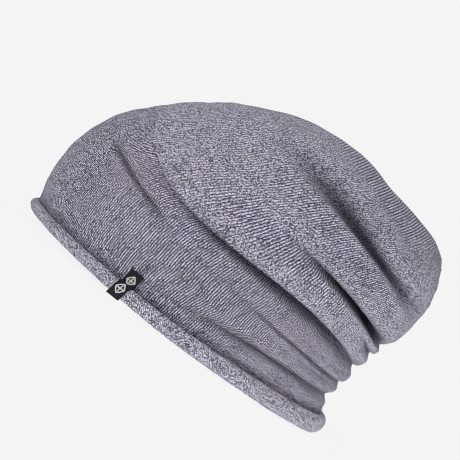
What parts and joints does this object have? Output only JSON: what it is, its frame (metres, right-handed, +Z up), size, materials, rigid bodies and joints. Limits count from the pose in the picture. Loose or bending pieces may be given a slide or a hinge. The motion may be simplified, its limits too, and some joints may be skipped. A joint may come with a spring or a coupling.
{
  "type": "slouchy beanie",
  "caption": "Slouchy knit beanie with gathered folds at the nape, a rolled edge that it rests on and a small woven label over the roll.",
  "frame": {"origin": "middle of the beanie's footprint, on the plane that the rolled edge rests on", "axes": "+Z up from the rolled edge to the crown, +X from the forehead to the nape and the slouch, -Y towards the side that carries the label"},
  "size_m": [0.2352, 0.1772, 0.1539],
  "materials": {
    "knit": "heather grey-lavender stockinette knit, matt and slightly fuzzy",
    "knit_purl": "heather grey-lavender knit, purl side out, matt and slightly fuzzy",
    "label_tape": "tightly woven black satin tape with a pale woven motif",
    "label_mark": "pale grey woven thread of the label's motif"
  },
  "bodies": {
    "root": {"crown": "knit", "rolled_brim": "knit_purl", "label": "label_tape"}
  },
  "joints": []
}
